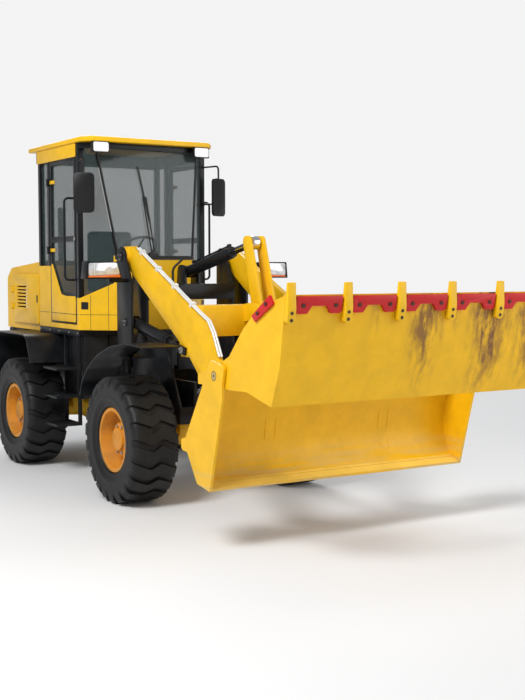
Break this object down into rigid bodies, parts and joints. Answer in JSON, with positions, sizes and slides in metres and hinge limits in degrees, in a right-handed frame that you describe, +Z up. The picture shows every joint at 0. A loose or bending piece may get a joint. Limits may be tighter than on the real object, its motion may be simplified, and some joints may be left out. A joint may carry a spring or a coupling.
{
  "type": "wheel loader",
  "caption": "Articulated wheel loader with a lever-linkage boom and a split bucket swung open, a hexagonal cab with hinged doors, and an engine hood with side doors.",
  "frame": {"origin": "on the ground, below the middle of the loader's overall length and width", "axes": "+X forwards to the bucket, +Y to the loader's left, +Z up"},
  "size_m": [6.7772, 2.27, 3.2177],
  "materials": {
    "yellow_paint": "satin",
    "orange_paint": "satin",
    "black_paint": "satin",
    "grey_steel": "satin",
    "worn_yellow": "matte",
    "rod_chrome": "polished",
    "tyre_rubber": "matte",
    "cab_glazing": "polished",
    "black_plastic": "matte",
    "cast_block": "matte",
    "red_paint": "satin",
    "signal_lens": "polished",
    "lamp_glass": "polished"
  },
  "bodies": {
    "rear_chassis": {"rear_frame": "black_paint", "rear_axle": "yellow_paint", "cab_platform": "black_paint", "cab_base": "yellow_paint", "cab_frame": "black_paint", "cab_roof": "yellow_paint", "cab_headers": "yellow_paint", "cab_glass": "cab_glazing", "driver_seat": "black_plastic", "steering_console": "black_plastic", "hood": "yellow_paint", "rear_grille": "black_plastic", "counterweight": "cast_block", "engine_block": "cast_block", "exhaust_stack": "black_paint", "rear_fenders": "black_paint", "side_tanks": "black_paint", "battery_boxes": "black_paint", "tail_lamps": "signal_lens", "steps": "black_paint", "work_lamps": "lamp_glass", "mirrors": "black_plastic"},
    "front_chassis": {"front_frame": "yellow_paint", "front_axle": "yellow_paint", "front_fenders": "black_paint", "headlamps": "lamp_glass"},
    "wheel_front_left": {"tyre_front_left": "tyre_rubber", "rim_front_left": "orange_paint"},
    "wheel_front_right": {"tyre_front_right": "tyre_rubber", "rim_front_right": "orange_paint"},
    "wheel_rear_left": {"tyre_rear_left": "tyre_rubber", "rim_rear_left": "orange_paint"},
    "wheel_rear_right": {"tyre_rear_right": "tyre_rubber", "rim_rear_right": "orange_paint"},
    "boom": {"boom": "yellow_paint", "boom_pipes": "grey_steel"},
    "lift_barrels": {"lift_barrels": "black_paint"},
    "lift_rods": {"lift_rods": "rod_chrome"},
    "tilt_barrel": {"tilt_barrel": "black_paint"},
    "tilt_rod": {"tilt_rod": "rod_chrome"},
    "rocker": {"rocker": "yellow_paint"},
    "bucket_link": {"bucket_link": "yellow_paint"},
    "bucket": {"moldboard": "worn_yellow"},
    "clam": {"clam": "worn_yellow", "bucket_teeth": "grey_steel", "edge_segments": "red_paint"},
    "clam_barrels": {"clam_barrels": "black_paint"},
    "clam_rods": {"clam_rods": "rod_chrome"},
    "cab_door_left": {"door_left": "yellow_paint", "door_glass_left": "cab_glazing"},
    "cab_door_right": {"door_right": "yellow_paint", "door_glass_right": "cab_glazing"},
    "engine_door_left": {"engine_door_left": "yellow_paint"},
    "engine_door_right": {"engine_door_right": "yellow_paint"}
  },
  "joints": [
    {"name": "steering", "type": "hinge", "parent": "rear_chassis", "child": "front_chassis", "pos_m": [-0.75465, 0, 0.83], "axis": [0, 0, 1], "range_deg": [-35, 35]},
    {"name": "wheel_front_left_spin", "type": "hinge", "parent": "front_chassis", "child": "wheel_front_left", "pos_m": [0.44535, 0.805, 0.5375], "axis": [0, 1, 0], "continuous": true},
    {"name": "wheel_front_right_spin", "type": "hinge", "parent": "front_chassis", "child": "wheel_front_right", "pos_m": [0.44535, -0.805, 0.5375], "axis": [0, 1, 0], "continuous": true},
    {"name": "wheel_rear_left_spin", "type": "hinge", "parent": "rear_chassis", "child": "wheel_rear_left", "pos_m": [-1.95465, 0.805, 0.5375], "axis": [0, 1, 0], "continuous": true},
    {"name": "wheel_rear_right_spin", "type": "hinge", "parent": "rear_chassis", "child": "wheel_rear_right", "pos_m": [-1.95465, -0.805, 0.5375], "axis": [0, 1, 0], "continuous": true},
    {"name": "boom_lift", "type": "hinge", "parent": "front_chassis", "child": "boom", "pos_m": [-0.16965, 0, 2.085], "axis": [0, -1, 0], "range_deg": [-9, 55]},
    {"name": "lift_barrel_swing", "type": "hinge", "parent": "front_chassis", "child": "lift_barrels", "pos_m": [-0.07465, 0, 1.5], "axis": [0, -1, 0], "range_deg": [-14, 62]},
    {"name": "lift_rod_slide", "type": "slide", "parent": "lift_barrels", "child": "lift_rods", "axis": [0.9823, 0, -0.1874], "range_m": [-0.13, 0.56]},
    {"name": "tilt_barrel_swing", "type": "hinge", "parent": "front_chassis", "child": "tilt_barrel", "pos_m": [-0.00465, 0, 1.95], "axis": [0, -1, 0], "range_deg": [-14, 62]},
    {"name": "tilt_rod_slide", "type": "slide", "parent": "tilt_barrel", "child": "tilt_rod", "axis": [0.9785, 0, 0.206], "range_m": [-0.21, 0.17]},
    {"name": "bucket_tilt", "type": "hinge", "parent": "boom", "child": "bucket", "pos_m": [1.94535, 0, 0.7], "axis": [0, -1, 0], "range_deg": [-50, 40]},
    {"name": "rocker_swing", "type": "hinge", "parent": "boom", "child": "rocker", "pos_m": [1.31535, 0, 1.64], "axis": [0, -1, 0], "range_deg": [-18, 22]},
    {"name": "link_swing", "type": "hinge", "parent": "rocker", "child": "bucket_link", "pos_m": [1.31535, 0, 1], "axis": [0, -1, 0], "range_deg": [-36, 30]},
    {"name": "clam_swing", "type": "hinge", "parent": "bucket", "child": "clam", "pos_m": [2.49035, 0, 1.25], "axis": [0, 1, 0], "range_deg": [0, 84]},
    {"name": "clam_barrel_swing", "type": "hinge", "parent": "bucket", "child": "clam_barrels", "pos_m": [2.04535, 0, 0.72], "axis": [0, 1, 0], "range_deg": [-2, 6]},
    {"name": "clam_rod_slide", "type": "slide", "parent": "clam_barrels", "child": "clam_rods", "axis": [0.3937, 0, 0.9192], "range_m": [0, 0.34]},
    {"name": "cab_door_left_hinge", "type": "hinge", "parent": "rear_chassis", "child": "cab_door_left", "pos_m": [-1.68865, 0.7, 2.2], "axis": [0, 0, 1], "range_deg": [0, 95]},
    {"name": "cab_door_right_hinge", "type": "hinge", "parent": "rear_chassis", "child": "cab_door_right", "pos_m": [-1.68865, -0.7, 2.2], "axis": [0, 0, -1], "range_deg": [0, 95]},
    {"name": "engine_door_left_hinge", "type": "hinge", "parent": "rear_chassis", "child": "engine_door_left", "pos_m": [-2.95865, 0.636, 1.65], "axis": [0, 0, 1], "range_deg": [0, 100]},
    {"name": "engine_door_right_hinge", "type": "hinge", "parent": "rear_chassis", "child": "engine_door_right", "pos_m": [-2.95865, -0.636, 1.65], "axis": [0, 0, -1], "range_deg": [0, 100]}
  ],
  "couplings": [
    {"joint": "lift_barrel_swing", "follows": "boom_lift", "ratio": 0.98},
    {"joint": "lift_rod_slide", "follows": "boom_lift", "m_per_rad": 0.554},
    {"joint": "tilt_barrel_swing", "follows": "boom_lift", "ratio": 1.03},
    {"joint": "tilt_rod_slide", "follows": "bucket_tilt", "m_per_rad": 0.22},
    {"joint": "rocker_swing", "follows": "bucket_tilt", "ratio": -0.39},
    {"joint": "link_swing", "follows": "bucket_tilt", "ratio": 0.63},
    {"joint": "clam_barrel_swing", "follows": "clam_swing", "ratio": 0.04},
    {"joint": "clam_rod_slide", "follows": "clam_swing", "m_per_rad": 0.2238}
  ]
}
